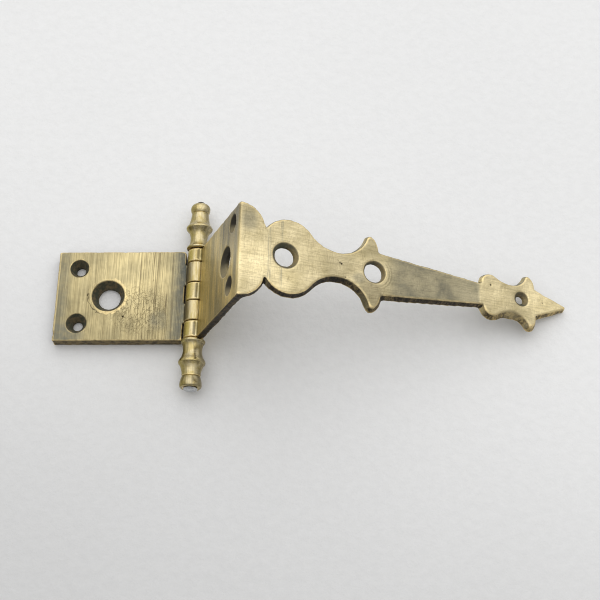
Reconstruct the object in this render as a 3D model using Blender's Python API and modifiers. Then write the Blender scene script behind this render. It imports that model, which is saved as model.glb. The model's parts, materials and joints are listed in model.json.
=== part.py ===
"""Cast brass strap hinge: a square butt leaf, a cranked strap leaf with an arrow-headed strap, and a
steel pin that carries a turned finial at each end.

Metres, +Z up. The butt leaf's seating face lies on z = 0 and holds the origin, on the leaf's centre line and
PIN_DISTANCE from the pin, which lies along Y on the +X side. The strap leaf turns about the pin and stands at
OPEN_ANGLE from the butt leaf at rest. Each leaf is modelled about the pin's mid-length.
"""

import math

import bmesh
import bpy
from mathutils import Matrix, Vector

MM = 0.001

# Pin, barrel and the knuckles, listed from the +Y end.
PIN_RADIUS = 1.75 * MM
PIN_HEAD_RADIUS = 3.0 * MM
PIN_HEAD_HEIGHT = 0.9 * MM
PIN_TIP_HEIGHT = 0.5 * MM
BORE_CLEARANCE = 0.1 * MM
BARREL_RADIUS = 4.2 * MM
KNUCKLE_LENGTHS = [6.3 * MM, 9.3 * MM, 8.2 * MM, 9.0 * MM, 7.7 * MM]
STRAP_KNUCKLES = (0, 2, 4)
BUTT_KNUCKLES = (1, 3)
KNUCKLE_GAP = 0.3 * MM
EDGE_TO_PIN = 5.0 * MM

# Butt leaf.
PIN_DISTANCE = 20.0 * MM
LEAF_HALF_WIDTH = 20.15 * MM
LEAF_LENGTH = 59.4 * MM
LEAF_THICKNESS = 5.7 * MM
LEAF_FACE_DROP = 0.3 * MM
LEAF_WEB_THICKNESS = 3.9 * MM
LEAF_WEB_START = 6.0 * MM
LEAF_WEB_END = 1.0 * MM
LEAF_CORNER_RADIUS = 1.5 * MM
LEAF_SKEW = math.radians(1.0)

# Strap leaf: the riser stands up from the pin, and the strap leaves its top edge at a right angle.
OPEN_ANGLE = math.radians(113.0)
RISER_HEIGHT = 55.0 * MM
RISER_TOP_HALF_WIDTH = 19.7 * MM
RISER_THICKNESS = 3.2 * MM
RISER_FACE_SET_BACK = 0.2 * MM
RISER_FLARE = 0.3 * MM
STRAP_THICKNESS = 3.0 * MM
STRAP_SKEW = math.radians(0.5)
CREASE_RADIUS = 1.2 * MM

# Strap outline, (distance from the crease, distance from the centre line) of one half. The halves differ: the
# neck and the taper lie off the centre line, and what points towards -Y lies further from the crease.
SHOULDER_CENTRE = Vector((0.0, 8.7)) * MM
SHOULDER_RADIUS = 11.0 * MM
DISC_CENTRE = Vector((21.0, 4.4)) * MM
DISC_RADIUS = 11.2 * MM
NECK = Vector((42.1, 5.0)) * MM
BARB_TIP = Vector((56.2, 14.0)) * MM
BARB_TIP_RADIUS = 1.4 * MM
BARB_SIDE_RADIUS = 9.0 * MM
BARB_FOOT = Vector((59.7, 9.0)) * MM
ARROW_START = Vector((105.4, 4.45)) * MM
ARROW_LOBE_CENTRE = Vector((110.4, 4.9)) * MM
ARROW_LOBE_RADIUS = 4.0 * MM
ARROW_NECK = Vector((120.3, 5.75)) * MM
ARROW_BARB_TIP = Vector((128.5, 10.2)) * MM
ARROW_BARB_TIP_RADIUS = 1.0 * MM
ARROW_BARB_SIDE_RADIUS = 6.0 * MM
ARROW_BARB_FOOT = Vector((131.0, 5.8)) * MM
TIP_CENTRE = Vector((145.1, 0.0)) * MM
TIP_RADIUS = 0.6 * MM
NECK_SHIFT = Vector((0.0, 0.4)) * MM
TAPER_SHIFT = Vector((0.0, -0.35)) * MM
BARB_LEAN = Vector((-0.45, 0.0)) * MM
ARROW_LEAN = Vector((-0.4, 0.0)) * MM

# The strap's sides slope out towards its back: (distance from the crease, slope's width towards -Y).
# Towards +Y the slope is a share of that.
FLARE = [
    (0.0, 0.4 * MM),
    (10.0 * MM, 1.1 * MM),
    (21.0 * MM, 1.2 * MM),
    (42.0 * MM, 2.1 * MM),
    (60.0 * MM, 1.6 * MM),
    (105.0 * MM, 1.2 * MM),
    (121.0 * MM, 3.0 * MM),
    (131.0 * MM, 1.5 * MM),
    (146.0 * MM, 0.8 * MM),
]
UPPER_FLARE_SHARE = 0.4

# Countersunk holes: (distance from pin or crease, distance across, rim radius, bore radius).
LEAF_HOLES = [
    (50.3 * MM, 12.5 * MM, 4.1 * MM, 2.05 * MM),
    (49.7 * MM, -12.4 * MM, 4.4 * MM, 2.1 * MM),
    (37.2 * MM, -0.1 * MM, 7.0 * MM, 4.75 * MM),
]
RISER_HOLES = [
    (46.2 * MM, 13.5 * MM, 4.1 * MM, 2.1 * MM),
    (43.8 * MM, -12.2 * MM, 4.2 * MM, 2.1 * MM),
    (38.5 * MM, 0.0, 6.5 * MM, 4.5 * MM),
]
STRAP_HOLES = [
    (19.5 * MM, 0.0, 5.6 * MM, 4.05 * MM),
    (57.5 * MM, 0.1 * MM, 5.0 * MM, 4.1 * MM),
    (124.6 * MM, 0.4 * MM, 3.45 * MM, 1.8 * MM),
]
# How much wider a countersink gets than its bore, for each unit of its depth.
LEAF_COUNTERSINK = 0.6
STRAP_COUNTERSINK = 1.0

# Turned finials. Stations are distances from the pin's mid-length, from the barrel outwards.
FINIAL_START = 20.55 * MM
UPPER_FINIAL = {
    "flange_radius": 4.9 * MM,
    "flange_end": 21.6 * MM,
    "waist_radius": 3.6 * MM,
    "waist": 25.3 * MM,
    "ring_start": 29.7 * MM,
    "ring_radius": 5.65 * MM,
    "ring_end": 31.0 * MM,
    "stem_radius": 3.6 * MM,
    "stem_end": 37.5 * MM,
    "button_radius": 4.2 * MM,
    "button": 39.6 * MM,
    "end_radius": 3.0 * MM,
    "end": 42.5 * MM,
}
LOWER_FINIAL = {
    "flange_radius": 5.1 * MM,
    "flange_end": 21.7 * MM,
    "waist_radius": 4.05 * MM,
    "waist": 24.6 * MM,
    "ring_start": 29.5 * MM,
    "ring_radius": 5.7 * MM,
    "ring_end": 31.1 * MM,
    "stem_radius": 3.85 * MM,
    "stem_end": 36.5 * MM,
    "button_radius": 4.65 * MM,
    "button": 39.8 * MM,
    "end_radius": 3.9 * MM,
    "end": 41.3 * MM,
}
COVE_POWER = 2.4
STEM_COVE_POWER = 3.0
FLANGE_CORNER = 0.25 * MM

# How finely round stretches are divided.
ARC_STEP = math.radians(9.0)
CORNER_STEP = 15
SHARP_ANGLE = math.radians(30.0)
SHOULDER_STEPS = 10
DISC_STEPS = 14
LOBE_STEPS = 12
TIP_STEPS = 4
TURNED_STEPS = 32
BARREL_STEPS = 48
COVE_STEPS = 5
BUTTON_STEPS = 4
DOME_STEPS = 4
CREASE_STEPS = 4
OVERSHOOT = 2.0 * MM
SCREW_MERGE = 0.00001

BRASS = ((0.52, 0.42, 0.20, 1.0), 0.38, 1.0)
POLISHED_BRASS = ((0.64, 0.52, 0.24, 1.0), 0.26, 1.0)
STEEL = ((0.46, 0.46, 0.45, 1.0), 0.42, 1.0)


def clear_scene():
    for existing in list(bpy.data.objects):
        bpy.data.objects.remove(existing, do_unlink=True)


def new_collection(name):
    collection = bpy.data.collections.new(name)
    bpy.context.scene.collection.children.link(collection)
    return collection


def new_material(name, finish):
    colour, roughness, metallic = finish
    material = bpy.data.materials.new(name)
    material.use_nodes = True
    shader = material.node_tree.nodes["Principled BSDF"]
    shader.inputs["Base Color"].default_value = colour
    shader.inputs["Roughness"].default_value = roughness
    shader.inputs["Metallic"].default_value = metallic
    return material


def add_object(name, bm, collection):
    """Turns bm into a mesh object of that collection."""
    mesh = bpy.data.meshes.new(name)
    bm.to_mesh(mesh)
    bm.free()
    added = bpy.data.objects.new(name, mesh)
    collection.objects.link(added)
    return added


def as_helper(helper):
    """A solid that only cuts or joins another one isn't part of the object."""
    helper.hide_render = True
    helper.display_type = "WIRE"
    return helper


def combine(target, helper, operation):
    modifier = target.modifiers.new(helper.name, "BOOLEAN")
    modifier.operation = operation
    modifier.solver = "EXACT"
    modifier.object = helper


def arc_steps(start, end):
    return max(2, math.ceil(abs(end - start) / ARC_STEP))


def direction(angle):
    return Vector((math.cos(angle), math.sin(angle)))


def angle_of(centre, point):
    return math.atan2(point.y - centre.y, point.x - centre.x)


def flare_at(x):
    """How far the strap's back edge stands out from its face edge, at a distance x from the crease."""
    for (start, width), (end, next_width) in zip(FLARE, FLARE[1:]):
        if x <= end:
            share = max(0.0, x - start) / (end - start)
            return width + share * (next_width - width)
    return FLARE[-1][1]


def sweep(centre, radius, start, end, steps, stand, hollow=False):
    """Points along an arc, moved out of the material by stand times the flare. A hollow arc has the material
    outside its circle."""
    points = []
    for k in range(steps + 1):
        ray = direction(start + (end - start) * k / steps)
        x = centre.x + radius * ray.x
        grown = radius + stand * flare_at(x) * (-1.0 if hollow else 1.0)
        points.append(centre + grown * ray)
    return points


def circles_meet(centre_a, radius_a, centre_b, radius_b):
    """Where two circles cross, on the left of the way from a to b."""
    apart = centre_b - centre_a
    along = (radius_a**2 - radius_b**2 + apart.length_squared) / (2.0 * apart.length)
    across = math.sqrt(radius_a**2 - along**2)
    unit = apart.normalized()
    return centre_a + along * unit + across * Vector((-unit.y, unit.x))


def waist_radius(centre, radius, low):
    """Radius of the hollow arc that has its lowest point at low and touches the round part."""
    run = low.x - centre.x
    drop = low.y - centre.y
    return (run**2 + drop**2 - radius**2) / (2.0 * (radius - drop))


def hollow_to_low(centre, radius, low, stand):
    """The hollow arc from a round part on the left down to its lowest point."""
    hollow = waist_radius(centre, radius, low)
    middle = low + Vector((0.0, hollow))
    start = angle_of(middle, centre)
    end = -math.pi / 2.0
    if start > 0.0:
        start -= 2.0 * math.pi
    return sweep(middle, hollow, start, end, arc_steps(start, end), stand, hollow=True)


def barb(low, tip, tip_radius, side_radius, foot, slope, stand):
    """From the waist's lowest point up to a pointed barb, round its tip and down its far side to its foot,
    where an edge that falls at that slope begins."""
    hollow = waist_radius(tip, tip_radius, low)
    middle = low + Vector((0.0, hollow))
    touch = angle_of(middle, tip)
    low_end = -math.pi / 2.0
    points = sweep(middle, hollow, low_end, touch, arc_steps(low_end, touch), stand, hollow=True)
    side_centre = circles_meet(foot, side_radius, tip, side_radius - tip_radius)
    turn = angle_of(side_centre, tip)
    around = sweep(tip, tip_radius, touch + math.pi, turn, arc_steps(touch + math.pi, turn), stand)
    out = stand * flare_at(foot.x)
    rise = out * (1.0 / math.cos(slope) - math.tan(slope))
    end = math.asin((foot.y + rise - side_centre.y) / (side_radius + out))
    down = sweep(side_centre, side_radius, turn, end, arc_steps(turn, angle_of(side_centre, foot)), stand)
    return points[1:] + around[1:] + down[1:]


def strap_half(stand, side):
    """One half of the strap's outline, from the crease to the tip. Stand is 0 at the face and 1 at the back.
    Side is 1 for the half towards +Y and -1 for the other one."""
    neck = NECK + side * NECK_SHIFT
    barb_tip = BARB_TIP + side * BARB_LEAN
    barb_foot = BARB_FOOT + side * (BARB_LEAN + TAPER_SHIFT)
    arrow_start = ARROW_START + side * TAPER_SHIFT
    lobe_centre = ARROW_LOBE_CENTRE + side * ARROW_LEAN
    arrow_barb_tip = ARROW_BARB_TIP + side * ARROW_LEAN

    notch_out = stand * flare_at(SHOULDER_RADIUS)
    notch = circles_meet(
        SHOULDER_CENTRE, SHOULDER_RADIUS + notch_out, DISC_CENTRE, DISC_RADIUS + notch_out
    )
    into_notch = angle_of(SHOULDER_CENTRE, notch)
    points = sweep(SHOULDER_CENTRE, SHOULDER_RADIUS, math.pi / 2.0, into_notch, SHOULDER_STEPS, stand)

    out_of_notch = angle_of(DISC_CENTRE, notch)
    neck_centre = neck + Vector((0.0, waist_radius(DISC_CENTRE, DISC_RADIUS, neck)))
    off_disc = angle_of(DISC_CENTRE, neck_centre)
    points += sweep(DISC_CENTRE, DISC_RADIUS, out_of_notch, off_disc, DISC_STEPS, stand)[1:]
    points += hollow_to_low(DISC_CENTRE, DISC_RADIUS, neck, stand)[1:]

    taper = math.atan2(barb_foot.y - arrow_start.y, arrow_start.x - barb_foot.x)
    points += barb(neck, barb_tip, BARB_TIP_RADIUS, BARB_SIDE_RADIUS, barb_foot, taper, stand)

    out = stand * flare_at(arrow_start.x)
    lift = arrow_start.y + out - lobe_centre.y
    onto_lobe = math.pi - math.asin(lift / (ARROW_LOBE_RADIUS + out))
    arrow_neck_centre = ARROW_NECK + Vector(
        (0.0, waist_radius(lobe_centre, ARROW_LOBE_RADIUS, ARROW_NECK))
    )
    off_lobe = angle_of(lobe_centre, arrow_neck_centre)
    points += sweep(lobe_centre, ARROW_LOBE_RADIUS, onto_lobe, off_lobe, LOBE_STEPS, stand)
    points += hollow_to_low(lobe_centre, ARROW_LOBE_RADIUS, ARROW_NECK, stand)[1:]

    head = math.atan2(ARROW_BARB_FOOT.y, TIP_CENTRE.x - ARROW_BARB_FOOT.x)
    points += barb(
        ARROW_NECK,
        arrow_barb_tip,
        ARROW_BARB_TIP_RADIUS,
        ARROW_BARB_SIDE_RADIUS,
        ARROW_BARB_FOOT,
        head,
        stand,
    )
    points += sweep(TIP_CENTRE, TIP_RADIUS, math.pi / 2.0 - head, 0.0, TIP_STEPS, stand)
    return points


def strap_outline(stand):
    """Both halves, which share the tip's foremost point on the centre line."""
    upper = strap_half(stand * UPPER_FLARE_SHARE, 1.0)
    lower = strap_half(stand, -1.0)
    outline = upper[:-1] + [Vector((point.x, -point.y)) for point in reversed(lower)]
    return [skewed(point, STRAP_SKEW) for point in outline]


def knuckle_span(index):
    """The stretch of the pin, (low, high), that a knuckle covers."""
    high = sum(KNUCKLE_LENGTHS) / 2.0 - sum(KNUCKLE_LENGTHS[:index])
    return high - KNUCKLE_LENGTHS[index] + KNUCKLE_GAP / 2.0, high - KNUCKLE_GAP / 2.0


def skewed(point, skew):
    """The castings are slightly out of square: what lies further from the pin sits further towards -Y."""
    return Vector((point.x, point.y - math.tan(skew) * point.x))


def plate_outline(far, far_side, web_end, knuckles, corner_radius, flare):
    """A plate's outline, (distance from the pin, y): straight sides out to far, and a tongue that reaches in
    to web_end at each of its knuckles. A tongue at an end of the barrel is flush with the plate's side."""
    side = LEAF_HALF_WIDTH + flare
    points = [Vector((far, -far_side - flare)), Vector((far, far_side + flare))]
    if 0 not in knuckles:
        centre = Vector((EDGE_TO_PIN + corner_radius, side - corner_radius))
        turns = range(90, 181, CORNER_STEP)
        points += [centre + corner_radius * direction(math.radians(angle)) for angle in turns]
    for index in knuckles:
        low, high = knuckle_span(index)
        if index == 0:
            points.append(Vector((web_end, side)))
        else:
            points += [Vector((EDGE_TO_PIN, high)), Vector((web_end, high))]
        if index == len(KNUCKLE_LENGTHS) - 1:
            points.append(Vector((web_end, -side)))
        else:
            points += [Vector((web_end, low)), Vector((EDGE_TO_PIN, low))]
    if len(KNUCKLE_LENGTHS) - 1 not in knuckles:
        points.append(Vector((EDGE_TO_PIN, -side)))
    return points


def loft(face, back, depth):
    """A plate between two outlines of as many points: the face at z = 0 and the back at z = -depth."""
    bm = bmesh.new()
    top = [bm.verts.new((point.x, point.y, 0.0)) for point in face]
    bottom = [bm.verts.new((point.x, point.y, -depth)) for point in back]
    bm.faces.new(top)
    bm.faces.new(bottom[::-1])
    for k in range(len(top)):
        following = (k + 1) % len(top)
        bm.faces.new((top[k], bottom[k], bottom[following], top[following]))
    bmesh.ops.recalc_face_normals(bm, faces=bm.faces)
    return bm


def round_crease(bm):
    """Rounds the strap's front edge at the crease, where it runs into the riser's face."""
    crease = [
        edge
        for edge in bm.edges
        if all(abs(vert.co.x) < SCREW_MERGE and abs(vert.co.z) < SCREW_MERGE for vert in edge.verts)
    ]
    bmesh.ops.bevel(
        bm, geom=crease, offset=CREASE_RADIUS, segments=CREASE_STEPS, profile=0.5, affect="EDGES"
    )


def cylinder_along_pin(bm, radius, low, high, steps):
    place = Matrix.Translation((0.0, (low + high) / 2.0, 0.0)) @ Matrix.Rotation(math.pi / 2.0, 4, "X")
    bmesh.ops.create_cone(
        bm, cap_ends=True, segments=steps, radius1=radius, radius2=radius, depth=high - low, matrix=place
    )


def add_knuckles(leaf, indices, helpers):
    """Joins a leaf's knuckles to its plate and bores them for the pin."""
    rounds = bmesh.new()
    for index in indices:
        low, high = knuckle_span(index)
        cylinder_along_pin(rounds, BARREL_RADIUS, low, high, BARREL_STEPS)
    combine(leaf, as_helper(add_object(f"{leaf.name}_knuckles", rounds, helpers)), "UNION")
    bore = bmesh.new()
    reach = sum(KNUCKLE_LENGTHS) / 2.0 + OVERSHOOT
    cylinder_along_pin(bore, PIN_RADIUS + BORE_CLEARANCE, -reach, reach, TURNED_STEPS)
    combine(leaf, as_helper(add_object(f"{leaf.name}_bore", bore, helpers)), "DIFFERENCE")


def turned(name, profile, collection):
    """A solid of revolution about Z. The profile, (radius, z), runs down its outer side."""
    bm = bmesh.new()
    verts = [bm.verts.new((radius, 0.0, z)) for radius, z in profile]
    for first, second in zip(verts, verts[1:]):
        bm.edges.new((first, second))
    if profile[0][0] > 0.0:
        bm.edges.new((verts[-1], verts[0]))
    solid = add_object(name, bm, collection)
    screw = solid.modifiers.new("turn", "SCREW")
    screw.steps = TURNED_STEPS
    screw.render_steps = TURNED_STEPS
    screw.use_merge_vertices = True
    screw.merge_threshold = SCREW_MERGE
    return solid


def countersunk_cutter(name, rim, bore, spread, depth, helpers):
    """A drill with its countersink's rim at z = 0, pointing down through a plate of that depth."""
    slope_end = min((rim - bore) / spread, depth)
    mouth = rim + OVERSHOOT * spread
    profile = [(0.0, OVERSHOOT), (mouth, OVERSHOOT), (bore, -slope_end), (bore, -depth - OVERSHOOT)]
    profile.append((0.0, -depth - OVERSHOOT))
    return as_helper(turned(name, profile, helpers))


def leaf_plate(outline, depth):
    """A plate of the butt leaf, which lies towards -X from the pin, its face just under the pin's axis."""
    outline = [skewed(point, LEAF_SKEW) for point in outline]
    outline = [Vector((-point.x, point.y)) for point in outline]
    bm = loft(outline, outline, depth)
    bmesh.ops.translate(bm, verts=bm.verts, vec=(0.0, 0.0, -LEAF_FACE_DROP))
    return bm


def add_butt_leaf(parts, helpers):
    outline = plate_outline(LEAF_LENGTH, LEAF_HALF_WIDTH, EDGE_TO_PIN, (), LEAF_CORNER_RADIUS, 0.0)
    leaf = add_object("butt_leaf", leaf_plate(outline, LEAF_THICKNESS), parts)
    for index in BUTT_KNUCKLES:
        low, high = knuckle_span(index)
        web = [Vector((LEAF_WEB_START, low)), Vector((LEAF_WEB_START, high))]
        web += [Vector((LEAF_WEB_END, high)), Vector((LEAF_WEB_END, low))]
        solid = add_object(f"leaf_web_{index}", leaf_plate(web, LEAF_WEB_THICKNESS), helpers)
        combine(leaf, as_helper(solid), "UNION")
    add_knuckles(leaf, BUTT_KNUCKLES, helpers)
    for number, (distance, across, rim, bore) in enumerate(LEAF_HOLES, 1):
        name = f"leaf_hole_{number}"
        drill = countersunk_cutter(name, rim, bore, LEAF_COUNTERSINK, LEAF_THICKNESS, helpers)
        centre = skewed(Vector((distance, across)), LEAF_SKEW)
        drill.location = (-centre.x, centre.y, -LEAF_FACE_DROP)
        combine(leaf, drill, "DIFFERENCE")
    return leaf


def add_strap_leaf(parts, helpers):
    """Modelled with the riser upright on the pin and the strap towards +X, then turned to its angle."""
    bm = loft(strap_outline(0.0), strap_outline(1.0), STRAP_THICKNESS)
    round_crease(bm)
    bmesh.ops.translate(bm, verts=bm.verts, vec=(RISER_FACE_SET_BACK, 0.0, RISER_HEIGHT))
    leaf = add_object("strap_leaf", bm, parts)

    riser_top = RISER_HEIGHT - STRAP_THICKNESS / 2.0
    face = plate_outline(riser_top, RISER_TOP_HALF_WIDTH, 0.0, STRAP_KNUCKLES, 0.0, 0.0)
    back = plate_outline(riser_top, RISER_TOP_HALF_WIDTH, 0.0, STRAP_KNUCKLES, 0.0, RISER_FLARE)
    riser = loft(face, back, RISER_THICKNESS)
    upright = Matrix.Rotation(-math.pi / 2.0, 4, "Y")
    bmesh.ops.transform(riser, verts=riser.verts, matrix=upright)
    bmesh.ops.translate(riser, verts=riser.verts, vec=(RISER_FACE_SET_BACK, 0.0, 0.0))
    combine(leaf, as_helper(add_object("riser", riser, helpers)), "UNION")
    add_knuckles(leaf, STRAP_KNUCKLES, helpers)

    drills = []
    for number, (distance, across, rim, bore) in enumerate(RISER_HOLES, 1):
        name = f"riser_hole_{number}"
        drill = countersunk_cutter(name, rim, bore, STRAP_COUNTERSINK, RISER_THICKNESS, helpers)
        drill.location = (RISER_FACE_SET_BACK, across, distance)
        drill.rotation_euler = (0.0, -math.pi / 2.0, 0.0)
        drills.append(drill)
    for number, (distance, across, rim, bore) in enumerate(STRAP_HOLES, 1):
        name = f"strap_hole_{number}"
        drill = countersunk_cutter(name, rim, bore, STRAP_COUNTERSINK, STRAP_THICKNESS, helpers)
        centre = skewed(Vector((distance, across)), STRAP_SKEW)
        drill.location = (RISER_FACE_SET_BACK + centre.x, centre.y, RISER_HEIGHT)
        drills.append(drill)
    for drill in drills:
        combine(leaf, drill, "DIFFERENCE")
    return leaf


def cove(start, end, power):
    """Points, (radius, station), of a hollow that leaves start steeply and reaches end smoothly."""
    points = []
    for k in range(COVE_STEPS + 1):
        share = k / COVE_STEPS
        radius = end[0] + (start[0] - end[0]) * (1.0 - share) ** power
        points.append((radius, start[1] + (end[1] - start[1]) * share))
    return points


def quarter_round(centre, radius_low, radius_high, reach, outwards):
    """Points of a quarter ellipse between the button's widest station and one of its ends."""
    points = []
    for k in range(BUTTON_STEPS + 1):
        angle = math.pi / 2.0 * k / BUTTON_STEPS
        radius = radius_low + (radius_high - radius_low) * math.cos(angle)
        points.append((radius, centre + outwards * reach * math.sin(angle)))
    return points


def finial_profile(shape):
    """A finial's section, from its outer end in to the flange that covers the barrel's end, then back up
    along the bore."""
    bore = PIN_RADIUS + BORE_CLEARANCE
    widest = shape["button_radius"]
    button = shape["button"]
    outer = quarter_round(button, shape["end_radius"], widest, shape["end"] - button, 1.0)
    inner = quarter_round(button, shape["stem_radius"], widest, button - shape["stem_end"], -1.0)
    corner = (shape["ring_end"] - shape["ring_start"]) / 4.0
    ring_edge = shape["ring_radius"] - corner
    waist = (shape["waist_radius"], shape["waist"])
    stem_end = (shape["stem_radius"], shape["stem_end"])
    flange = shape["flange_radius"]
    stem = cove((ring_edge, shape["ring_end"]), stem_end, STEM_COVE_POWER)
    into_ring = cove((ring_edge, shape["ring_start"]), waist, COVE_POWER)
    from_flange = cove((flange, shape["flange_end"]), waist, COVE_POWER)
    profile = [(bore, shape["end"])] + outer[::-1] + inner[1:]
    profile += stem[::-1][1:]
    profile += [(shape["ring_radius"], shape["ring_end"] - corner)]
    profile += [(shape["ring_radius"], shape["ring_start"] + corner)]
    profile += into_ring
    profile += from_flange[::-1][1:]
    profile += [(flange, FINIAL_START + FLANGE_CORNER), (flange - FLANGE_CORNER, FINIAL_START)]
    profile.append((bore, FINIAL_START))
    return profile


def pin_profile():
    """The pin's section from its peened tip at the top down to its head below the lower finial."""
    tip_start = UPPER_FINIAL["end"]
    profile = []
    for k in range(DOME_STEPS + 1):
        angle = math.pi / 2.0 * (1.0 - k / DOME_STEPS)
        profile.append((PIN_RADIUS * math.cos(angle), tip_start + PIN_TIP_HEIGHT * math.sin(angle)))
    profile[0] = (0.0, profile[0][1])
    head_start = -LOWER_FINIAL["end"] - KNUCKLE_GAP
    profile += [(PIN_RADIUS, head_start), (PIN_HEAD_RADIUS, head_start)]
    for k in range(1, DOME_STEPS + 1):
        angle = math.pi / 2.0 * k / DOME_STEPS
        profile.append((PIN_HEAD_RADIUS * math.cos(angle), head_start - PIN_HEAD_HEIGHT * math.sin(angle)))
    profile[-1] = (0.0, profile[-1][1])
    return profile


def shade(solid, material):
    solid.data.materials.append(material)
    solid.data.shade_smooth()
    solid.data.set_sharp_from_angle(angle=SHARP_ANGLE)


def add_empty(name, collection, parent=None):
    empty = bpy.data.objects.new(name, None)
    empty.parent = parent
    collection.objects.link(empty)
    return empty


def hang(leaf, holder):
    """Parents a leaf to an empty, with the solids that shape it."""
    leaf.parent = holder
    for modifier in leaf.modifiers:
        modifier.object.parent = holder


def main():
    clear_scene()
    parts = new_collection("strap_hinge")
    helpers = new_collection("cutters")

    pin_axis = add_empty("pin_axis", parts)
    pin_axis.location = (PIN_DISTANCE, 0.0, LEAF_THICKNESS + LEAF_FACE_DROP)
    strap_turn = add_empty("strap_turn", parts, pin_axis)
    strap_turn.rotation_euler = (0.0, OPEN_ANGLE - math.pi / 2.0, 0.0)

    butt_leaf = add_butt_leaf(parts, helpers)
    shade(butt_leaf, new_material("leaf_brass", BRASS))
    hang(butt_leaf, pin_axis)

    strap_leaf = add_strap_leaf(parts, helpers)
    shade(strap_leaf, new_material("strap_brass", BRASS))
    hang(strap_leaf, strap_turn)

    finial_brass = new_material("finial_brass", POLISHED_BRASS)
    upper_finial = turned("upper_finial", finial_profile(UPPER_FINIAL), parts)
    upper_finial.rotation_euler = (-math.pi / 2.0, 0.0, 0.0)
    shade(upper_finial, finial_brass)
    lower_finial = turned("lower_finial", finial_profile(LOWER_FINIAL), parts)
    lower_finial.rotation_euler = (math.pi / 2.0, 0.0, 0.0)
    shade(lower_finial, finial_brass)

    hinge_pin = turned("hinge_pin", pin_profile(), parts)
    hinge_pin.rotation_euler = (-math.pi / 2.0, 0.0, 0.0)
    shade(hinge_pin, new_material("pin_steel", STEEL))
    for piece in (hinge_pin, upper_finial, lower_finial):
        piece.parent = pin_axis


main()
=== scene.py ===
"""Looks for the brass strap hinge: worn castings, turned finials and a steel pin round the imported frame."""

import json
import math
from types import SimpleNamespace

import bmesh
import bpy
import numpy as np
from mathutils import Matrix, Vector

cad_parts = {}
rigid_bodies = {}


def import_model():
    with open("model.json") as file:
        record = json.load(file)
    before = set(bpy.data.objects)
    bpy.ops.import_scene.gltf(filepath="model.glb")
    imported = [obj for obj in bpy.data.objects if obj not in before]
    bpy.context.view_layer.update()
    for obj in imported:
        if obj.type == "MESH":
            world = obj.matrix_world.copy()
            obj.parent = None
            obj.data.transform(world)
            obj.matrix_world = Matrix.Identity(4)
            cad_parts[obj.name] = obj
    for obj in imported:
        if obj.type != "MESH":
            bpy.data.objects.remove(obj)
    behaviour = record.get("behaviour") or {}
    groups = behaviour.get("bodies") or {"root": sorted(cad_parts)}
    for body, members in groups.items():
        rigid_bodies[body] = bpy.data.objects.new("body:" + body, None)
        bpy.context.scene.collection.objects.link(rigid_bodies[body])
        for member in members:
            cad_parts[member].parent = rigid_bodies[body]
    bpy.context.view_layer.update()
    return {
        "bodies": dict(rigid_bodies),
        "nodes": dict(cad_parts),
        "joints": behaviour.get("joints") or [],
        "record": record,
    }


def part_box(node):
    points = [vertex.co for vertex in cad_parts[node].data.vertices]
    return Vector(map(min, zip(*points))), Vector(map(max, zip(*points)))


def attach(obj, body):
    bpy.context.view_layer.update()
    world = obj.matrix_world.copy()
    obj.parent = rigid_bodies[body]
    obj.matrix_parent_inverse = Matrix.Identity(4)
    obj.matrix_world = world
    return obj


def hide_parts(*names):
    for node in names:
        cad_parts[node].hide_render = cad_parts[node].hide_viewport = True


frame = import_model()

MM = 0.001
ALONG_X, ALONG_Y, ALONG_Z = range(3)

# Castings: lengths in mm, in each leaf's own frame, whose origin is the pin's mid-length and whose Y runs
# along the pin. The butt leaf reaches out along -X and faces +Z. The riser climbs along +Z and faces -X, and
# the strap runs on from its top along +X and faces +Z.
LEAF_VOXEL = 0.27
STRAP_VOXEL = 0.36
WELD_DISTANCE = 0.002
LEAF_SPAN = 59.4
LEAF_FACE = -0.3
STRAP_FACE = 55.0
HEAD_START = 104.8
BARREL_RADIUS = 4.2

# Holes: place on the face and the rim's radius.
LEAF_HOLES = [(-50.3, 11.62, 4.1), (-49.7, -13.27, 4.4), (-37.2, -0.75, 7.0)]
RISER_HOLES = [(46.2, 13.5, 4.1), (43.8, -12.2, 4.2), (38.5, 0.0, 6.5)]
STRAP_HOLES = [(19.7, -0.17, 5.6), (57.7, -0.4, 5.0), (124.8, -0.69, 3.45)]

# Marks that stand out on the butt leaf: place and reach of a pit, place of the chipped corner, and place and
# reach of the hammered strip.
LEAF_PIT = (-30.3, -10.0, 0.55)
LEAF_CHIP = (-LEAF_SPAN, -18.0, LEAF_FACE)
LEAF_STRIP = (-25.4, 1.0, 1.7, 11.0)

# Small pits in the strap's face: place, reach and depth.
STRAP_PITS = [
    (41.9, 1.6, 0.35, 0.2), (42.7, 0.9, 0.45, 0.26), (43.4, 0.6, 0.5, 0.3), (45.2, -5.0, 0.5, 0.2),
    (110.4, 3.2, 0.55, 0.25), (134.8, -0.9, 0.5, 0.2), (30.6, 4.5, 0.35, 0.15), (31.0, 2.6, 0.35, 0.15),
    (87.0, 4.0, 0.4, 0.15),
]

# Where a tool has scraped across the strap: distance from the riser's face and half width. The dents near
# them in the relief also have the length, width and seed of their grain.
TOOL_MARKS = [(12.9, 1.1), (17.9, 0.8)]
TOOL_DENTS = [(11.5, 1.6, 5.0, 0.9, 26), (17.5, 1.2, 4.0, 0.8, 27)]

# The rings that a tool has turned beside the strap's second hole: how far apart, and between which distances
# from its centre they fade out.
RING_PITCH = 1.15
RING_FADE = (8.6, 7.6)

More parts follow.
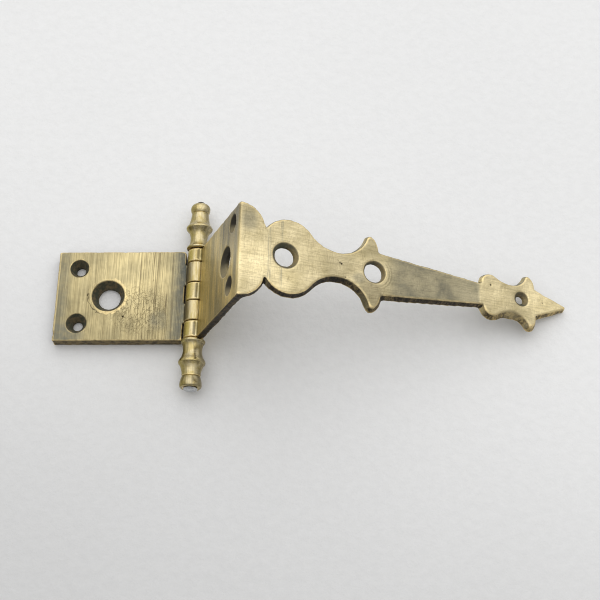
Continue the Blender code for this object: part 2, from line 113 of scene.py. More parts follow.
# Patches on the faces: centre and reach along each axis.
LEAF_RUBBED = ((-24.0, 4.0, 0.0), (16.0, 24.0, 20.0))
LEAF_TORN = ((-24.0, -7.0, 0.0), (17.0, 16.0, 20.0))
LEAF_FAR_CORNER = ((-56.0, -19.0, 0.0), (12.0, 10.0, 20.0))
LEAF_DULL = ((-15.0, -11.5, 0.0), (6.0, 6.0, 20.0))
STRAP_BY_CREASE = ((4.2, 12.0, STRAP_FACE), (4.5, 6.0, 5.0))
STRAP_BY_BARB = ((51.0, -4.2, STRAP_FACE), (4.0, 3.0, 5.0))
STRAP_ON_SHANK = ((88.5, -2.5, STRAP_FACE), (5.0, 4.5, 5.0))

# Lighter and darker patches on the strap leaf: place, reach and change of tone. The first, by the crease, is
# a painted highlight.
STRAP_TONES = [
    (5.0, -4.0, STRAP_FACE, 12.0, 0.3), (19.0, -10.0, STRAP_FACE, 9.0, 0.22),
    (56.0, -11.0, STRAP_FACE, 10.0, -0.45), (42.0, 0.0, STRAP_FACE, 11.0, -0.2),
    (111.0, 0.0, STRAP_FACE, 10.0, 0.1), (136.0, 0.0, STRAP_FACE, 14.0, 0.45),
    (-2.0, 19.0, 43.0, 20.0, -0.46), (56.0, 11.0, STRAP_FACE, 9.0, -0.25),
    (80.0, 0.0, STRAP_FACE, 26.0, -0.2),
]

# How much of a surface's normal lies along an axis where it begins to count as facing that way, and where it
# counts in full: for the relief and for the materials.
RELIEF_FADE = (0.6, 0.9)
LOOK_FADE = (0.55, 0.85)

# Wear: how far a vertex stands out of its surroundings on a fully worn edge, or lies back in a full corner,
# and how many rounds of smoothing give the surroundings. Nicks sit where the wear is above a threshold.
EDGE_RISE = 0.22
CORNER_DEPTH = 0.12
SURROUNDINGS = 14
WORN_THROUGH = 0.6
NICK_REACHES = (0.4, 1.3)
PIT_DEPTHS = (0.03, 0.14)

# Turned pieces, (distance from the pin's mid-length, radius). A finial's points start at the barrel and the
# pin's at its tip. A repeated point is a sharp corner.
PIN_BORE = 1.85
UPPER_FINIAL = [
    (20.55, PIN_BORE), (20.55, PIN_BORE), (20.55, 4.6), (20.55, 4.6), (20.85, 4.9), (21.4, 4.88),
    (22.0, 4.4), (23.2, 3.82), (25.3, 3.6), (27.2, 3.82), (28.6, 4.4), (29.6, 5.25), (30.1, 5.6),
    (30.6, 5.62), (31.1, 5.3), (31.9, 4.75), (33.6, 4.2), (35.6, 3.82), (37.3, 3.62), (37.3, 3.62),
    (37.5, 3.4), (37.7, 3.66), (37.7, 3.66), (38.6, 4.05), (39.6, 4.19), (40.6, 4.02), (41.4, 3.5),
    (41.8, 2.95), (41.95, 2.5), (41.95, 2.5), (41.95, PIN_BORE), (41.95, PIN_BORE),
]
LOWER_FINIAL = [
    (20.55, PIN_BORE), (20.55, PIN_BORE), (20.55, 4.8), (20.55, 4.8), (20.9, 5.1), (21.5, 5.08), (22.3, 4.5),
    (24.6, 4.05), (26.6, 4.22), (28.2, 4.72), (29.4, 5.4), (30.1, 5.66), (30.7, 5.64), (31.2, 5.25),
    (31.2, 5.25), (32.1, 4.75), (33.8, 4.2), (36.3, 3.88), (36.3, 3.88), (36.5, 3.62), (36.7, 3.95),
    (36.7, 3.95), (38.2, 4.42), (39.8, 4.64), (40.8, 4.5), (41.2, 4.15), (41.3, 3.9), (41.3, 3.9),
    (41.1, 3.5), (41.1, 3.5), (41.1, PIN_BORE), (41.1, PIN_BORE),
]
PIN = [
    (43.0, 0.0), (42.97, 1.3), (42.8, 1.6), (42.3, 1.74), (42.3, 1.74),
    (-41.3, 1.74), (-41.3, 1.74), (-41.3, 2.85), (-41.3, 2.85), (-41.45, 3.0), (-41.7, 3.0), (-42.1, 2.6),
    (-42.35, 1.5), (-42.45, 0.0),
]
TURNED_SIDES = 112
CURVE_STEPS = 5
ON_AXIS = 0.001
SHARP_ANGLE = math.radians(50.0)

# Camera: it looks steeply down at a point to the right of the pin. A narrow pixel filter keeps edges crisp.
CAMERA_LENS = 76.7
CAMERA_DISTANCE = 544.3 * MM
CAMERA_ELEVATION = math.radians(68.16)
CAMERA_AZIMUTH = math.radians(1.86)
CAMERA_ROLL = math.radians(0.49)
CAMERA_LEAN = math.radians(1.32)
CAMERA_ASIDE = 43.93 * MM
CAMERA_LOWER = 0.37 * MM
AIM_UNDER_PIN = 5.68 * MM
PIXEL_FILTER = 1.05

# Stage, in metres. The strap leaf's lowest points are looked for in a number of directions round the pin.
FLOOR_SIZE = 12.0
FLOOR_CELLS = 8
SWING_DIRECTIONS = 24
KEY_PLACE = (0.08, 0.42, 0.92)
KEY_SIZE = 1.7
KEY_POWER = 5.6
WORLD_BRIGHT_WAY = (0.0, 0.8, 0.6)
WORLD_FADE = (-0.7, 0.8)
WORLD_DIM = (0.20, 0.20, 0.20)
WORLD_BRIGHT = (0.86, 0.86, 0.86)


# ------------ frames

def named(entries, name):
    """The joint or mount of that name."""
    for entry in entries:
        if entry["name"] == name:
            return entry
    raise ValueError(f"the record has no {name}")


def mount_axis(name):
    return Vector(named(frame["record"]["mounts"], name)["axis"]).normalized()


def frame_of(x_axis, z_axis, origin):
    """The matrix that takes a leaf's own frame, in mm, to the row frame."""
    y_axis = z_axis.cross(x_axis).normalized()
    turn = Matrix((x_axis, y_axis, z_axis)).transposed().to_4x4()
    return Matrix.Translation(origin) @ turn @ Matrix.Scale(MM, 4)


PIN_PLACE = Vector(named(frame["joints"], "leaf_swing")["pos_m"])
LEAF_FRAME = frame_of(Vector((1.0, 0.0, 0.0)), Vector((0.0, 0.0, 1.0)), PIN_PLACE)
STRAP_FRAME = frame_of(mount_axis("riser_back"), -mount_axis("strap_back"), PIN_PLACE)


# ------------ mesh tools

def hashed(cells, seed):
    """A repeatable number from -1 to 1 for each whole-number cell. Large odd factors mix up its bits."""
    mixed = cells[..., 0] * 73856093 ^ cells[..., 1] * 19349663 ^ cells[..., 2] * 83492791
    mixed = mixed ^ seed * 2654435761
    mixed = (mixed ^ (mixed >> 13)) * 1274126177 & 0xFFFFFFFF
    mixed = (mixed ^ (mixed >> 16)) * 2246822519 & 0xFFFFFFFF
    return ((mixed >> 8) & 0xFFFF) / 32767.5 - 1.0


def unevenness(points, size, seed):
    """Smooth noise from -1 to 1, whose bumps are about size apart. Size may differ along each axis."""
    scaled = points / np.asarray(size, float)
    cell = np.floor(scaled).astype(np.int64)
    share = scaled - cell
    share = share * share * (3.0 - 2.0 * share)
    total = np.zeros(len(points))
    for corner in range(8):
        step = np.array([corner & 1, corner >> 1 & 1, corner >> 2 & 1])
        weight = np.prod(np.where(step == 1, share, 1.0 - share), axis=1)
        total += weight * hashed(cell + step, seed)
    return total


def smooth_step(low, high, values):
    share = np.clip((values - low) / (high - low), 0.0, 1.0)
    return share * share * (3.0 - 2.0 * share)


def bump_at(distance, reach):
    """A soft bump, 1 at no distance and gone well beyond reach."""
    return np.exp(-((distance / reach) ** 2))


def corners_of(mesh):
    places = np.zeros(len(mesh.vertices) * 3, np.float32)
    mesh.vertices.foreach_get("co", places)
    return places.reshape(-1, 3).astype(float)


def normals_of(mesh):
    normals = np.zeros(len(mesh.vertices) * 3, np.float32)
    mesh.vertices.foreach_get("normal", normals)
    return normals.reshape(-1, 3).astype(float)


def put_corners(mesh, places):
    mesh.vertices.foreach_set("co", places.astype(np.float32).ravel())
    mesh.update()


class Neighbours:
    """Averages a value over each vertex and the vertices next to it."""

    def __init__(self, mesh):
        ends = np.zeros(len(mesh.edges) * 2, np.int32)
        mesh.edges.foreach_get("vertices", ends)
        ends = ends.reshape(-1, 2)
        self.here = np.concatenate((ends[:, 0], ends[:, 1]))
        self.there = np.concatenate((ends[:, 1], ends[:, 0]))
        self.count = np.maximum(np.bincount(self.here, minlength=len(mesh.vertices)), 1)

    def mean(self, values):
        if values.ndim == 1:
            return np.bincount(self.here, values[self.there], len(self.count)) / self.count
        return np.stack([self.mean(column) for column in values.T], axis=1)

    def smoothed(self, values, rounds):
        for _ in range(rounds):
            values = 0.5 * (values + self.mean(values))
        return values


def store(mesh, name, values):
    kind = "FLOAT" if values.ndim == 1 else "FLOAT_VECTOR"
    attribute = mesh.attributes.new(name, kind, "POINT")
    attribute.data.foreach_set("value" if values.ndim == 1 else "vector", values.astype(np.float32).ravel())


def new_object(name, data):
    made = bpy.data.objects.new(name, data)
    bpy.context.scene.collection.objects.link(made)
    return made


def mesh_from(bm, name):
    mesh = bpy.data.meshes.new(name)
    bm.to_mesh(mesh)
    bm.free()
    return mesh


def finely_meshed(node, place, voxel):
    """A mesh of that CAD node in its leaf's own frame, in mm, with an even grid of small faces."""
    bm = bmesh.new()
    bm.from_mesh(frame["nodes"][node].data)
    bmesh.ops.transform(bm, matrix=place.inverted(), verts=bm.verts)
    bmesh.ops.remove_doubles(bm, verts=bm.verts, dist=WELD_DISTANCE)
    holder = new_object(node + "_grid", mesh_from(bm, node + "_grid"))
    remesh = holder.modifiers.new("grid", "REMESH")
    remesh.mode = "VOXEL"
    remesh.voxel_size = voxel
    remesh.adaptivity = 0.0
    bpy.context.view_layer.update()
    shaped = holder.evaluated_get(bpy.context.evaluated_depsgraph_get())
    fine = bpy.data.meshes.new_from_object(shaped)
    bpy.data.objects.remove(holder)
    return fine


def keep_in_box(mesh, node):
    """No corner may leave the CAD node's box."""
    low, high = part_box(node)
    put_corners(mesh, np.clip(corners_of(mesh), low, high))


def dents(places, where, count, seed, reaches, depths):
    """Dents at random vertices, as how far each vertex sinks: between which reaches and depths they lie."""
    chance = np.random.default_rng(seed)
    sink = np.zeros(len(places))
    for spot in chance.choice(np.flatnonzero(where), count):
        reach = chance.uniform(*reaches)
        depth = chance.uniform(*depths)
        away = np.linalg.norm(places - places[spot], axis=1)
        sink = np.maximum(sink, depth * bump_at(away, reach))
    return sink


def shape_of_edges(mesh, neighbours):
    """How much each vertex stands out of its surroundings (worn edges) or lies in a corner, from 0 to 1."""
    places = corners_of(mesh)
    normals = neighbours.smoothed(normals_of(mesh), 3)
    rise = np.einsum("ij,ij->i", normals, places - neighbours.smoothed(places, SURROUNDINGS))
    rise = neighbours.smoothed(rise, 2)
    return np.clip(rise / EDGE_RISE, 0.0, 1.0), np.clip(-rise / CORNER_DEPTH, 0.0, 1.0)


def finish_piece(node, made, mesh, to_row, stored):
    """Stores what the materials read, puts the mesh in the row frame and replaces the CAD node with it. The
    piece is named after the node and how it was made."""
    for key, values in stored.items():
        store(mesh, key, values)
    mesh.transform(to_row)
    keep_in_box(mesh, node)
    mesh.shade_smooth()
    mesh.name = f"{node}_{made}"
    piece = new_object(mesh.name, mesh)
    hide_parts(node)
    return piece


def rubbed_rims(places, across_a, across_b, holes, seed):
    """Bright, uneven rings where the rims of the holes are worn."""
    ring = np.zeros(len(places))
    for a, b, rim in holes:
        away = np.hypot(across_a - a, across_b - b)
        width = 0.27 + 0.14 * unevenness(places, 2.6, seed)
        strength = 0.55 + 0.25 * unevenness(places, 3.5, seed + 1)
        ring = np.maximum(ring, strength * bump_at(away - rim - 0.1, width))
    return ring


def in_holes(across_a, across_b, holes):
    """1 inside a hole, fading out at its rim."""
    inside = np.zeros(len(across_a))
    for a, b, rim in holes:
        away = np.hypot(across_a - a, across_b - b)
        inside = np.maximum(inside, smooth_step(rim + 0.05, rim - 0.35, away))
    return inside


# ------------ castings

def start_casting(node, place, voxel, rounds):
    """The node's fine mesh, softened by some rounds of smoothing, and what its relief is worked out from."""
    mesh = finely_meshed(node, place, voxel)
    near = Neighbours(mesh)
    places = near.smoothed(corners_of(mesh), rounds)
    put_corners(mesh, places)
    facing = near.smoothed(normals_of(mesh), 2)
    edge, corner = shape_of_edges(mesh, near)
    from_axis = np.hypot(places[:, 0], places[:, 2])
    barrel = smooth_step(BARREL_RADIUS + 0.9, BARREL_RADIUS + 0.2, from_axis)
    return mesh, places, facing, edge, corner, barrel


def finish_casting(node, mesh, to_row, facing, edge, corner, hole):
    stored = {"place": corners_of(mesh), "facing": facing, "edge": edge, "corner": corner, "hole": hole}
    return finish_piece(node, "casting", mesh, to_row, stored)


def layered(places, layers):
    """Unevenness in layers: height, size, seed and where each one is."""
    return sum(height * unevenness(places, size, seed) * where for height, size, seed, where in layers)


def torn_ring(places, face, edge, corner):
    """The raised and torn metal round the butt leaf's large hole: its lift, and edge and corner with it."""
    x, y, _ = places.T
    hole_x, hole_y, rim = LEAF_HOLES[2]
    away = np.hypot(x - hole_x, y - hole_y)
    turn = np.arctan2(y - hole_y, x - hole_x)
    raised = bump_at(away - rim - 0.35, 0.42) * (0.13 + 0.05 * np.sin(3.0 * turn + 0.6))
    torn_side = smooth_step(0.2, 0.9, np.cos(turn + 2.6))
    torn = torn_side * bump_at(away - rim - 1.0, 0.8) * unevenness(places, 0.8, seed=5)
    burr_end = rim + 1.4 + 0.55 * unevenness(places, 1.5, seed=8) + 0.25 * unevenness(places, 0.7, seed=9)
    burr = torn_side * bump_at(away - burr_end - 0.15, 0.28)
    open_side = smooth_step(-0.7, 0.3, np.cos(turn + 0.4))
    rubbed = (0.42 + 0.2 * open_side) * smooth_step(burr_end + 0.1, burr_end - 0.3, away)
    edge = np.maximum(edge, face * rubbed)
    corner = np.maximum(corner, 0.8 * face * burr)
    return raised - 0.2 * np.abs(torn), edge, corner


def cast_butt_leaf():
    mesh, places, facing, edge, corner, barrel = start_casting("butt_leaf", LEAF_FRAME, LEAF_VOXEL, 4)
    x, y, _ = places.T
    face = smooth_step(*RELIEF_FADE, facing[:, 2]) * (1.0 - barrel)
    rough = 1.0 - np.maximum(face, barrel)
    hole = in_holes(x, y, LEAF_HOLES)

    lift = layered(places, [
        (0.05, (9.0, 14.0, 9.0), 1, 1.0 - barrel), (0.008, (0.9, 12.0, 2.0), 2, face),
        (0.06, (1.6, 1.6, 1.1), 3, rough), (0.03, 0.7, 4, rough),
    ])
    ring, edge, corner = torn_ring(places, face, edge, corner)
    strip_x, strip_y, half_width, half_length = LEAF_STRIP
    hammered = bump_at(x - strip_x, half_width) * bump_at(y - strip_y, half_length)
    hammered = hammered * unevenness(places, (0.9, 1.5, 1.0), seed=6)
    lift += face * (ring + 0.07 * hammered)

    # A bright strip along the far edge: a painted highlight on the bevel there, given through the worn-edge
    # colour.
    edge = np.maximum(edge, 0.55 * face * smooth_step(1.3 - LEAF_SPAN, 0.8 - LEAF_SPAN, x))
    edge = np.maximum(edge, face * rubbed_rims(places, x, y, LEAF_HOLES, seed=7))
    worn = edge * (1.0 - barrel) * (1.0 - hole)
    sink = dents(places, worn > WORN_THROUGH, 26, 11, NICK_REACHES, (0.035, 0.14))
    chip = np.linalg.norm(places - np.array(LEAF_CHIP), axis=1)
    sink = np.maximum(sink, 0.7 * bump_at(chip, 0.9))
    pit_x, pit_y, reach = LEAF_PIT
    pit = bump_at(np.hypot(x - pit_x, y - pit_y), reach) * face
    sink = np.maximum(sink, 0.3 * pit)
    corner = np.maximum(corner, pit)
    open_face = (face > 0.9) & (hole < 0.01)
    sink = np.maximum(sink, dents(places, open_face, 34, 12, (0.3, 0.65), PIT_DEPTHS) * face)
    put_corners(mesh, places + facing * (lift - sink)[:, None])
    return finish_casting("butt_leaf", mesh, LEAF_FRAME, facing, edge, corner, hole)


def tool_relief(places):
    """What tools have left in the strap's face: rings beside its second hole, and two dents."""
    x, y, _ = places.T
    hole_x, hole_y, _ = STRAP_HOLES[1]
    away = np.hypot(x - hole_x, y - hole_y)
    right_side = smooth_step(-0.2, 0.5, (x - hole_x) / np.maximum(away, 0.1))
    relief = 0.08 * np.sin(away * 2.0 * math.pi / RING_PITCH) * smooth_step(*RING_FADE, away) * right_side
    for dent_x, half_width, grain_length, grain_width, seed in TOOL_DENTS:
        grain = unevenness(places, (grain_width, grain_length, 1.0), seed)
        relief = relief + 0.03 * bump_at(x - dent_x, half_width) * grain
    return relief


def cast_strap_leaf():
    mesh, places, facing, edge, corner, barrel = start_casting("strap_leaf", STRAP_FRAME, STRAP_VOXEL, 3)
    x, y, z = places.T
    strap_face = smooth_step(*RELIEF_FADE, facing[:, 2]) * smooth_step(STRAP_FACE - 1.0, STRAP_FACE - 0.5, z)
    riser_face = smooth_step(*RELIEF_FADE, -facing[:, 0]) * (1.0 - barrel) * smooth_step(2.0, 1.2, x)
    rough = 1.0 - np.clip(strap_face + riser_face + barrel, 0.0, 1.0)
    on_riser = smooth_step(STRAP_FACE - 2.0, STRAP_FACE - 5.0, z)
    in_strap = in_holes(x, y, STRAP_HOLES) * smooth_step(8.0, 12.0, x)
    in_riser = in_holes(z, y, RISER_HOLES) * smooth_step(6.0, 4.0, x) * on_riser
    hole = np.maximum(in_strap, in_riser)

    lift = layered(places, [
        (0.07, (11.0, 8.0, 11.0), 21, 1.0 - barrel), (0.03, (2.6, 2.2, 2.6), 22, 1.0 - barrel),
        (0.09, (2.0, 2.0, 1.3), 23, rough), (0.04, 0.8, 24, rough), (0.02, (1.2, 6.0, 0.9), 25, riser_face),
    ])
    lift += strap_face * 0.09 * smooth_step(HEAD_START - 0.5, HEAD_START + 0.5, x)
    lift += strap_face * tool_relief(places)

    edge = np.maximum(edge, strap_face * rubbed_rims(places, x, y, STRAP_HOLES, seed=34))
    edge = np.maximum(edge, riser_face * rubbed_rims(places, z, y, RISER_HOLES, seed=35))
    worn = edge * (1.0 - barrel) * (1.0 - hole)
    sink = dents(places, worn > WORN_THROUGH, 60, 31, NICK_REACHES, (0.045, 0.18))
    for pit_x, pit_y, reach, depth in STRAP_PITS:
        pit = bump_at(np.hypot(x - pit_x, y - pit_y), reach) * strap_face
        sink = np.maximum(sink, depth * pit)
        corner = np.maximum(corner, 4.0 * depth * pit)
    open_face = ((strap_face > 0.9) | (riser_face > 0.9)) & (hole < 0.01)
    scattered = dents(places, open_face, 90, 32, (0.3, 0.7), PIT_DEPTHS)
    sink = np.maximum(sink, scattered * (strap_face + riser_face))
    ragged = smooth_step(19.0, 20.2, np.abs(y)) * smooth_step(4.0, 7.0, z) * on_riser
    sink += ragged * (0.12 + 0.12 * unevenness(places, (2.0, 2.0, 2.3), seed=33))
    put_corners(mesh, places + facing * (lift - sink)[:, None])
    return finish_casting("strap_leaf", mesh, STRAP_FRAME, facing, edge, corner, hole)


# ------------ turned pieces

def curve_through(keys):
    """Points along a smooth curve through the keys, which has a corner where a key is repeated."""
    points = []
    last = len(keys) - 1
    for k in range(last):
        start, end = np.array(keys[k]), np.array(keys[k + 1])
        if np.allclose(start, end):
            continue
        before = np.array(keys[max(k - 1, 0)])
        after = np.array(keys[min(k + 2, last)])
        span = np.linalg.norm(end - start)
        leave = tangent(before, start, end) * span
        arrive = tangent(start, end, after) * span
        for step in range(CURVE_STEPS):
            t = step / CURVE_STEPS
            cubic = 2.0 * t**3 - 3.0 * t**2
            point = (cubic + 1.0) * start - cubic * end
            point += (t**3 - 2.0 * t**2 + t) * leave + (t**3 - t**2) * arrive
            points.append(point)
    points.append(np.array(keys[last]))
    return points


def tangent(before, here, after):
    """The curve's direction at a key. At a corner it heads straight for the other key."""
    if np.allclose(before, here):
        way = after - here
    elif np.allclose(here, after):
        way = here - before
    else:
        into = (here - before) / np.linalg.norm(here - before)
        out = (after - here) / np.linalg.norm(after - here)
        way = into + out
    return way / np.linalg.norm(way)


def revolved(profile, side):
    """A mesh of the profile turned round the pin, closed along a bore unless the profile starts on the axis.
    Side is 1 towards +Y and -1 towards -Y."""
    bm = bmesh.new()
    rings = []
    for along, radius in profile:
        if radius < ON_AXIS:
            rings.append([bm.verts.new((0.0, side * along, 0.0))])
            continue
        ring = []
        for k in range(TURNED_SIDES):
            angle = 2.0 * math.pi * k / TURNED_SIDES
            ring.append(bm.verts.new((radius * math.cos(angle), side * along, radius * math.sin(angle))))
        rings.append(ring)
    steps = list(zip(rings, rings[1:]))
    if len(rings[0]) > 1:
        steps.append((rings[-1], rings[0]))
    for lower, upper in steps:
        for k in range(TURNED_SIDES):
            after = (k + 1) % TURNED_SIDES
            if len(lower) == 1:
                bm.faces.new((lower[0], upper[k], upper[after]))
            elif len(upper) == 1:
                bm.faces.new((lower[k], upper[0], lower[after]))
            else:
                bm.faces.new((lower[k], upper[k], upper[after], lower[after]))
    bmesh.ops.recalc_face_normals(bm, faces=bm.faces)
    return mesh_from(bm, "turned")


def turned(node, keys, side, seed, wobble):
    """A turned piece with a slightly uneven outside. Its bore stays round."""
    mesh = revolved(curve_through(keys), side)
    places = corners_of(mesh)
    facing = normals_of(mesh)
    outside = smooth_step(PIN_BORE + 0.05, PIN_BORE + 0.55, np.hypot(places[:, 0], places[:, 2]))
    lift = wobble * unevenness(places, (3.0, 4.0, 3.0), seed)
    lift += 0.3 * wobble * unevenness(places, (1.0, 0.8, 1.0), seed + 1)
    lift -= dents(places, outside > WORN_THROUGH, 9, seed + 2, NICK_REACHES, (1.5 * wobble, 6.0 * wobble))
    edge, corner = shape_of_edges(mesh, Neighbours(mesh))
    put_corners(mesh, places + facing * (lift * outside)[:, None])
    stored = {"place": places, "facing": facing, "edge": edge, "corner": corner}
    piece = finish_piece(node, "turned", mesh, LEAF_FRAME, stored)
    mesh.set_sharp_from_angle(angle=SHARP_ANGLE)
    return piece


# ------------ material tools

class Graph:
    """Builds nodes in a material or a world. Its methods return sockets, and take sockets or plain values."""

    def __init__(self, owner):
        owner.use_nodes = True
        self.owner = owner
        self.tree = owner.node_tree

    def feed(self, socket, value):
        if isinstance(value, bpy.types.NodeSocket):
            self.tree.links.new(value, socket)
        elif hasattr(value, "__len__") and len(value) == 3 and socket.type == "RGBA":
            socket.default_value = (*value, 1.0)
        else:
            socket.default_value = value

    def add(self, kind, output=0, inputs=(), **settings):
        node = self.tree.nodes.new(kind)
        for name, value in settings.items():
            setattr(node, name, value)
        for key, value in inputs:
            self.feed(node.inputs[key], value)
        return node.outputs[output]

    def read(self, name, vector=False):
        return self.add("ShaderNodeAttribute", "Vector" if vector else "Fac", attribute_name=name)

    def joined(self, operation, first, *others):
        for other in others:
            first = self.add("ShaderNodeMath", inputs=((0, first), (1, other)), operation=operation)
        return first

    def times(self, *values):
        return self.joined("MULTIPLY", *values)

    def plus(self, *values):
        return self.joined("ADD", *values)

    def most(self, *values):
        return self.joined("MAXIMUM", *values)

    def inverse(self, value):
        return self.joined("SUBTRACT", 1.0, value)

    def away_from(self, value, centre):
        """How far the value is from the centre, either way."""
        difference = self.joined("SUBTRACT", value, centre)
        return self.add("ShaderNodeMath", inputs=((0, difference),), operation="ABSOLUTE")

    def stretched(self, vector, factors):
        return self.add("ShaderNodeVectorMath", inputs=((0, vector), (1, factors)), operation="MULTIPLY")

    def parts(self, vector):
        node = self.tree.nodes.new("ShaderNodeSeparateXYZ")
        self.feed(node.inputs[0], vector)
        return node.outputs[0], node.outputs[1], node.outputs[2]

    def noise(self, vector, scale, detail=4.0, roughness=0.6, distortion=0.0):
        inputs = (
            ("Vector", vector), ("Scale", scale), ("Detail", detail),
            ("Roughness", roughness), ("Distortion", distortion),
        )
        return self.add("ShaderNodeTexNoise", "Fac", inputs)

    def streaks(self, vector, axis, along, across, detail=4.0, roughness=0.6, distortion=0.1):
        """Soft streaks along one axis, about 0.5 on average: how long and how wide they are, in mm."""
        factors = tuple(1.0 / along if k == axis else 1.0 / across for k in range(3))
        return self.noise(self.stretched(vector, factors), 1.0, detail, roughness, distortion)

    def lines(self, vector, axis, along, apart, width, wander=0.0):
        """Thin lines along one axis, 1 on a line: how long they run, how far apart and how wide, in mm."""
        off_line = self.away_from(self.streaks(vector, axis, along, apart, 2.0, 0.5, wander), 0.5)
        return self.between(off_line, 0.0, width / apart, 1.0, 0.0)

    def between(self, value, low, high, start=0.0, end=1.0):
        """From start, where the value is at or before low, smoothly to end, where it is at or beyond high."""
        inputs = ((0, value), (1, low), (2, high), (3, start), (4, end))
        return self.add("ShaderNodeMapRange", inputs=inputs, interpolation_type="SMOOTHSTEP")

    def blend(self, first, second, *shares):
        """The second colour over the first, by the product of the shares."""
        inputs = ((0, self.times(*shares)), (6, first), (7, second))
        return self.add("ShaderNodeMix", 2, inputs, data_type="RGBA")

    def tinted(self, colour, amount):
        """The colour made brighter or darker by a factor."""
        grey = self.add("ShaderNodeCombineColor", inputs=((0, amount), (1, amount), (2, amount)))
        inputs = ((0, 1.0), (6, colour), (7, grey))
        return self.add("ShaderNodeMix", 2, inputs, data_type="RGBA", blend_type="MULTIPLY")

    def spot(self, vector, centre, reach):
        """1 at that place, fading to 0 at its reach along each axis."""
        away = self.add("ShaderNodeVectorMath", inputs=((0, vector), (1, centre)), operation="SUBTRACT")
        away = self.stretched(away, tuple(1.0 / size for size in reach))
        length = self.add("ShaderNodeVectorMath", "Value", ((0, away),), operation="LENGTH")
        return self.between(length, 0.35, 1.0, 1.0, 0.0)

    def finish(self, colour, roughness, metallic, height):
        """Gives the material its surface. Height is in mm, out of the surface."""
        bump = self.add("ShaderNodeBump", inputs=(("Height", height), ("Strength", 1.0), ("Distance", MM)))
        looks = (("Base Color", colour), ("Roughness", roughness), ("Metallic", metallic), ("Normal", bump))
        for name, value in looks:
            self.feed(self.tree.nodes["Principled BSDF"].inputs[name], value)
        return self.owner


# ------------ colours

TAN_BRASS = (0.42, 0.35, 0.185)
PALE_TAN = (0.55, 0.475, 0.28)
OLIVE_BRASS = (0.26, 0.22, 0.12)
RISER_GOLD = (0.74, 0.60, 0.28)
CREAM_BRASS = (0.71, 0.605, 0.365)
FINIAL_GOLD = (0.56, 0.45, 0.20)
WARM_GOLD = (0.50, 0.40, 0.10)
GREY_PATINA = (0.17, 0.175, 0.145)
BLUE_PATINA = (0.075, 0.085, 0.085)
BROWN_PATINA = (0.085, 0.058, 0.028)
BLACK_PATINA_AND_SHADE = (0.022, 0.018, 0.012)
GREEN_PATINA = (0.06, 0.063, 0.04)
OLD_BROWN = (0.15, 0.115, 0.06)
SIDE_GOLD = (0.30, 0.225, 0.095)
BACK_BROWN = (0.15, 0.12, 0.065)
WORN_BRASS_AND_HIGHLIGHT = (0.86, 0.68, 0.34)
DIRT_AND_SHADE = (0.03, 0.024, 0.014)
STEEL_GREY = (0.42, 0.43, 0.43)
STEEL_PALE = (0.62, 0.63, 0.64)
PAPER_GREY = (0.755, 0.755, 0.752)
PAPER_WHITE = (0.775, 0.775, 0.772)


# ------------ finishes that the castings share

def worn_finish(graph, colour, inside, marks, edge_highlight, corner_dirt_and_shade, roughness, metallic, height):
    """What both castings share: dark holes, worn edges painted a brighter brass, which is wear together with
    a painted highlight, and dirt together with painted shade in the corners. Two of the arguments set how
    bright the edges and how dark the corners get."""
    edge, corner, hole = graph.read("edge"), graph.read("corner"), graph.read("hole")
    colour = graph.blend(colour, inside, hole, 0.92)
    worn = graph.times(graph.between(edge, 0.3, 0.75), graph.between(marks, 0.3, 0.55, 0.5, 1.0))
    worn = graph.times(worn, edge_highlight, graph.inverse(graph.times(hole, 0.7)))
    # Worn edges painted a brighter brass: wear together with a painted highlight.
    colour = graph.blend(colour, WORN_BRASS_AND_HIGHLIGHT, worn, 0.8)
    # Corners painted darker: dirt together with painted shade.
    colour = graph.blend(colour, DIRT_AND_SHADE, graph.between(corner, 0.3, 0.9), corner_dirt_and_shade)
    roughness = graph.plus(roughness, graph.times(hole, 0.2), graph.times(worn, -0.08))
    metallic = graph.times(metallic, graph.between(hole, 0.0, 1.0, 1.0, 0.4))
    return graph.finish(colour, roughness, metallic, height)


def rough_cast(graph, marks):
    """The castings' dark sides."""
    return graph.blend(BLACK_PATINA_AND_SHADE, BROWN_PATINA, graph.between(marks, 0.4, 0.7))


def hole_wall(graph, marks):
    return graph.blend(GREEN_PATINA, OLD_BROWN, graph.between(marks, 0.4, 0.65))


def aged_back(graph, marks):
    """The castings' backs, which were never polished."""
    return graph.blend(BACK_BROWN, OLIVE_BRASS, graph.between(marks, 0.35, 0.65))


def polished_barrel(graph, place, golden_reflection, shaded):
    """Knuckles rubbed bright, with dull lines along them, a painted golden reflection on one side and painted
    shade on the side next to the plate.
    """
    shine = graph.between(graph.streaks(place, ALONG_Y, 8.0, 1.1), 0.38, 0.62)
    colour = graph.blend(FINIAL_GOLD, CREAM_BRASS, shine)
    colour = graph.blend(colour, WARM_GOLD, golden_reflection)
    return graph.tinted(colour, graph.between(shaded, 0.0, 1.0, 1.0, 0.35))


def casting_metallic(graph, tarnish, rough):
    """Bare metal, less so where it is tarnished or rough."""
    return graph.between(graph.most(tarnish, rough), 0.0, 1.0, 1.0, 0.4)


# ------------ butt leaf's brass

def butt_leaf_marks(graph, place, x):
    """What polishing, tools and wear have left on the butt leaf's face."""
    scraped = graph.between(x, -27.0, -23.0, 0.3, 1.0)
    cracks = graph.noise(graph.stretched(place, (0.42, 0.3, 0.42)), 1.0, 3.0, distortion=1.2)
    cracks = graph.between(graph.away_from(cracks, 0.5), 0.0, 0.035, 1.0, 0.0)
    return SimpleNamespace(
        broad=graph.streaks(place, ALONG_Y, 110.0, 1.2),
        fine=graph.streaks(place, ALONG_Y, 22.0, 0.3),
        dark_lines=graph.times(graph.lines(place, ALONG_Y, 130.0, 1.6, 0.06), scraped),
        close_lines=graph.lines(place, ALONG_Y, 24.0, 0.75, 0.05),
        cracks=graph.times(cracks, graph.spot(place, *LEAF_TORN)),
    )


